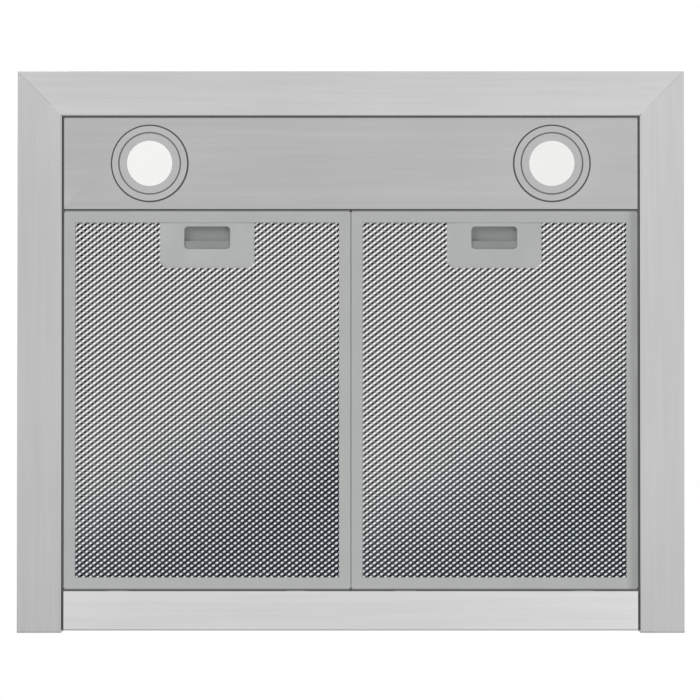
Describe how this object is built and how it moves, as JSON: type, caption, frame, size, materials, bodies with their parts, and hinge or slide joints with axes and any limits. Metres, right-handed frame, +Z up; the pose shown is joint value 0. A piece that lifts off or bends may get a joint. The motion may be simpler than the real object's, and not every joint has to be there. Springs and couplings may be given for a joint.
{
  "type": "range hood insert",
  "caption": "Cabinet range hood insert: brushed trim, lamp panel, swing-down mesh grease filters, blower with duct collar and damper flaps.",
  "frame": {"origin": "middle of the hood's underside, at the lowest face of the trim", "axes": "+Z up as installed, +X to the right and -Y to the front (lamp side) as seen from below with the front away from the viewer"},
  "size_m": [0.6, 0.505, 0.336],
  "materials": {
    "trim_steel": "brushed",
    "zinc_sheet": "galvanised",
    "shaft_steel": "polished",
    "lamp_bezel": "satin",
    "lamp_aluminium": "satin",
    "lamp_lens": "frosted",
    "circuit_board": "white solder mask",
    "spring_steel": "plain",
    "driver_case": "moulded",
    "control_plastic": "moulded",
    "relief_plastic": "moulded",
    "capacitor_case": "moulded",
    "scroll_plastic": "moulded",
    "wheel_steel": "galvanised",
    "motor_paint": "satin",
    "collar_plastic": "moulded",
    "filter_aluminium": "satin",
    "filter_mesh": "expanded mesh",
    "handle_plastic": "painted moulding",
    "latch_plastic": "moulded"
  },
  "bodies": {
    "hood": {"blower_box": "zinc_sheet", "blower_box_top": "zinc_sheet", "body_front": "zinc_sheet", "body_left": "zinc_sheet", "body_rear": "zinc_sheet", "body_right": "zinc_sheet", "body_top": "zinc_sheet", "cabinet_bracket_left": "zinc_sheet", "cabinet_bracket_right": "zinc_sheet", "control_box": "control_plastic", "control_box_lid": "control_plastic", "corner_gussets": "zinc_sheet", "divider_wall": "zinc_sheet", "lamp_bezels": "lamp_bezel", "lamp_boards": "circuit_board", "lamp_bodies": "lamp_aluminium", "lamp_clips": "spring_steel", "lamp_lenses": "lamp_lens", "led_driver": "driver_case", "light_panel": "trim_steel", "motor": "motor_paint", "motor_bracket": "zinc_sheet", "outlet_collar": "collar_plastic", "rear_ledge": "zinc_sheet", "run_capacitor": "capacitor_case", "scroll_left": "scroll_plastic", "scroll_right": "scroll_plastic", "strain_relief": "relief_plastic", "trim_front": "trim_steel", "trim_left": "trim_steel", "trim_rear": "trim_steel", "trim_right": "trim_steel"},
    "filter_left": {"filter_frame_left": "filter_aluminium", "filter_face_mesh_left": "filter_mesh", "filter_core_left": "filter_mesh", "filter_back_mesh_left": "filter_mesh", "handle_plate_left": "handle_plastic", "latch_spring_left": "spring_steel", "filter_tabs_left": "filter_aluminium"},
    "filter_right": {"filter_frame_right": "filter_aluminium", "filter_face_mesh_right": "filter_mesh", "filter_core_right": "filter_mesh", "filter_back_mesh_right": "filter_mesh", "handle_plate_right": "handle_plastic", "latch_spring_right": "spring_steel", "filter_tabs_right": "filter_aluminium"},
    "latch_left": {"latch_slider_left": "latch_plastic"},
    "latch_right": {"latch_slider_right": "latch_plastic"},
    "wheel": {"impeller": "wheel_steel", "motor_shaft": "shaft_steel"},
    "flap_left": {"damper_flap_left": "collar_plastic"},
    "flap_right": {"damper_flap_right": "collar_plastic"}
  },
  "joints": [
    {"name": "filter_left_swing", "type": "hinge", "parent": "hood", "child": "filter_left", "pos_m": [-0.1292, 0.2151, 0.00165], "axis": [1, 0, 0], "range_deg": [0, 60]},
    {"name": "latch_left_slide", "type": "slide", "parent": "filter_left", "child": "latch_left", "axis": [0, 1, 0], "range_m": [0, 0.006], "stiffness_N_per_m": 300, "springref_m": -0.004, "deforming": ["latch_spring_left"]},
    {"name": "flap_left_lift", "type": "hinge", "parent": "hood", "child": "flap_left", "pos_m": [0, 0.073, 0.3018], "axis": [0, 1, 0], "range_deg": [0, 80]},
    {"name": "filter_right_swing", "type": "hinge", "parent": "hood", "child": "filter_right", "pos_m": [0.1292, 0.2151, 0.00165], "axis": [1, 0, 0], "range_deg": [0, 60]},
    {"name": "latch_right_slide", "type": "slide", "parent": "filter_right", "child": "latch_right", "axis": [0, 1, 0], "range_m": [0, 0.006], "stiffness_N_per_m": 300, "springref_m": -0.004, "deforming": ["latch_spring_right"]},
    {"name": "flap_right_lift", "type": "hinge", "parent": "hood", "child": "flap_right", "pos_m": [0, 0.073, 0.3018], "axis": [0, -1, 0], "range_deg": [0, 80]},
    {"name": "impeller_spin", "type": "hinge", "parent": "hood", "child": "wheel", "pos_m": [0, 0.01, 0.17], "axis": [1, 0, 0], "continuous": true}
  ]
}
